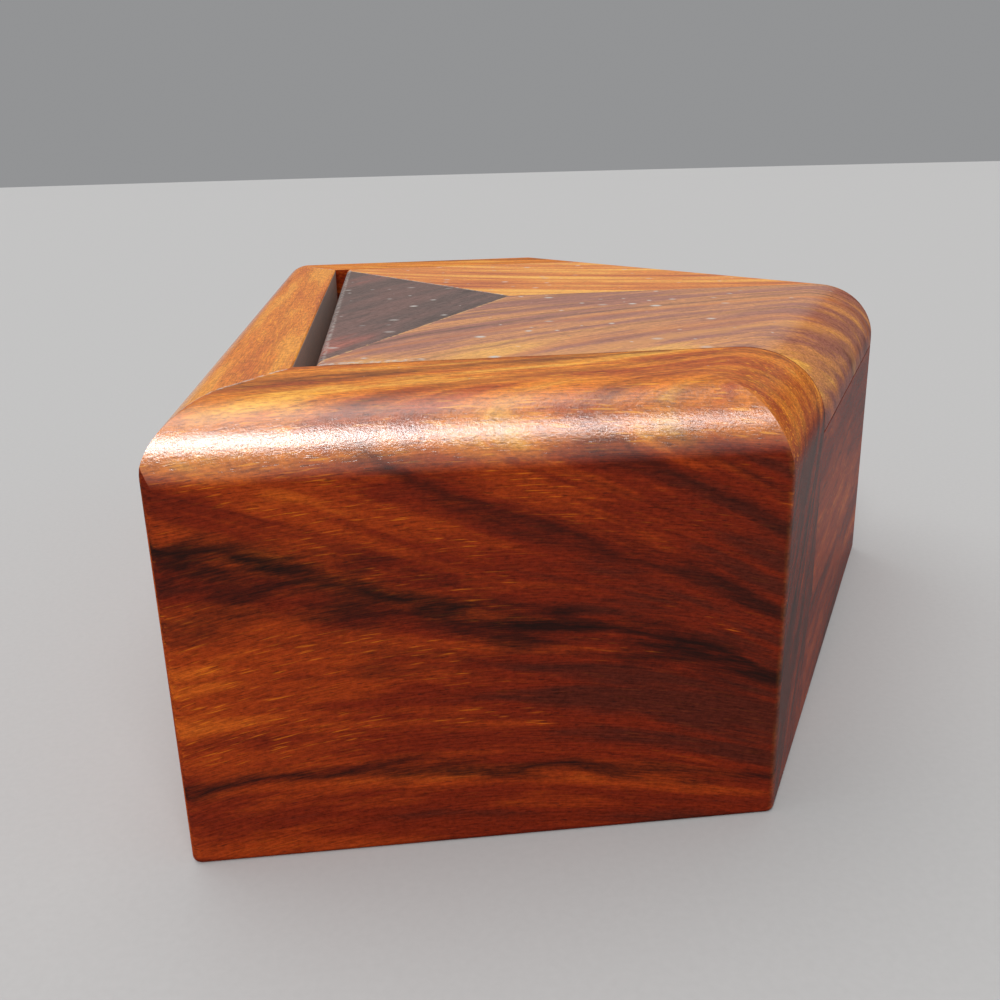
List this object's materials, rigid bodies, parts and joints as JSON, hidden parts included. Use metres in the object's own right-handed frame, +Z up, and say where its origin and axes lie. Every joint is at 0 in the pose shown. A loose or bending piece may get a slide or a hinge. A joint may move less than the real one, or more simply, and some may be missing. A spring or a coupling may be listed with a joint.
{
  "type": "pivot-lid keepsake box",
  "caption": "Solid hardwood keepsake box with a pointed end, rounded top edges and a flush inlaid lid that tips open on hidden pins when pressed beside its slot.",
  "frame": {"origin": "centre of the plan's bounding box, on the surface that the box stands on", "axes": "+X from the long left wall to the pointed end; +Y along the left wall, from the near wall to the far wall; +Z up. The box is the same on both sides of the plane y = 0"},
  "size_m": [0.1352, 0.1922, 0.0615],
  "materials": {
    "case_wood": "polished clear lacquer over figured wood",
    "lid_wood": "polished clear lacquer over figured wood",
    "dark_wood": "polished clear lacquer over figured wood",
    "bottom_wood": "oiled plain wood",
    "pin_brass": "drawn rod"
  },
  "bodies": {
    "case": {"near_wall": "case_wood", "far_wall": "case_wood", "left_wall": "case_wood", "slant_near_wall": "case_wood", "slant_far_wall": "case_wood", "bottom_panel": "bottom_wood", "near_pivot_pin": "pin_brass", "far_pivot_pin": "pin_brass"},
    "lid": {"lid_triangle": "dark_wood", "lid_near_leaf": "lid_wood", "lid_far_leaf": "lid_wood"}
  },
  "joints": [
    {"name": "lid_hinge", "type": "hinge", "parent": "case", "child": "lid", "pos_m": [-0.04039, 0, 0.05475], "axis": [0, -1, 0], "range_deg": [0, 115]}
  ]
}
